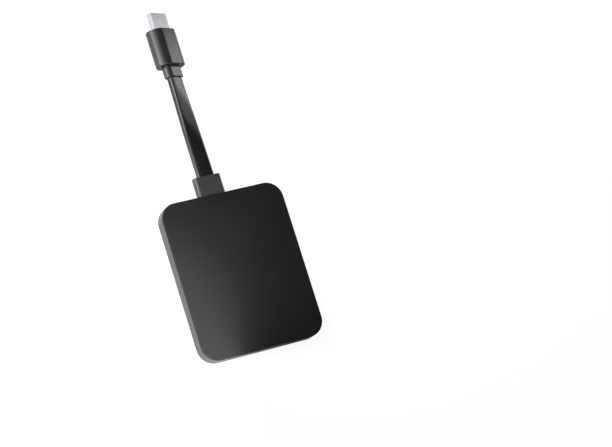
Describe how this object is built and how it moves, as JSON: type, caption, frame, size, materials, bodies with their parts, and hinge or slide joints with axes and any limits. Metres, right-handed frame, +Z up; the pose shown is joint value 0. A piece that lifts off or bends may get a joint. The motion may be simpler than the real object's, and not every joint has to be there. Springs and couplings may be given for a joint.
{
  "type": "streaming media player",
  "caption": "Flat rounded box that streams video, with a short flat cable ending in a video plug, a power inlet, a status light and a recessed reset button.",
  "frame": {"origin": "middle of the housing's flat underside, which rests on the surface", "axes": "+Z up through the front face, +Y along the housing's length towards the cable and plug, +X to the side with the power inlet"},
  "size_m": [0.0794, 0.2154, 0.0171],
  "materials": {
    "cover_plastic": "satin",
    "cable_jacket": "satin",
    "grip_plastic": "satin",
    "plated_steel": "satin",
    "stamped_steel": "satin",
    "screw_steel": "satin",
    "gold_plating": "polished",
    "spreader_aluminium": "satin",
    "board_laminate": "satin",
    "chip_plastic": "matt",
    "thermal_pad": "matt",
    "ferrite": "matt",
    "capacitor_body": "satin",
    "clear_plastic": "gloss",
    "lamp_plastic": "gloss",
    "header_plastic": "satin",
    "wire_jacket": "satin",
    "button_plastic": "satin"
  },
  "bodies": {
    "housing": {"front_cover": "cover_plastic", "back_cover": "cover_plastic", "heat_spreader": "spreader_aluminium", "spreader_pad": "thermal_pad", "shield_lid": "stamped_steel", "shield_frame": "stamped_steel", "processor_pad": "thermal_pad", "processor": "chip_plastic", "memory_chips": "chip_plastic", "storage_chip": "chip_plastic", "wireless_module": "stamped_steel", "power_chip": "chip_plastic", "power_coils": "ferrite", "crystal": "stamped_steel", "capacitors": "capacitor_body", "main_board": "board_laminate", "board_screws": "screw_steel", "antenna_left": "stamped_steel", "antenna_right": "stamped_steel", "power_inlet_shell": "plated_steel", "power_inlet_tongue": "chip_plastic", "power_inlet_contacts": "gold_plating", "reset_switch": "ferrite", "status_lamp": "lamp_plastic", "light_pipe": "clear_plastic", "cable_header": "header_plastic", "cable_clamp": "stamped_steel", "cable_wires": "wire_jacket", "strain_relief": "grip_plastic", "flat_cable": "cable_jacket", "plug_grip": "grip_plastic", "plug_can": "stamped_steel", "plug_shell": "plated_steel", "plug_insert": "chip_plastic", "plug_contacts": "gold_plating"},
    "reset_plunger": {"reset_button": "button_plastic"}
  },
  "joints": [
    {"name": "reset_press", "type": "slide", "parent": "housing", "child": "reset_plunger", "axis": [-1, 0, 0], "range_m": [0, 0.0003], "stiffness_N_per_m": 5000}
  ]
}
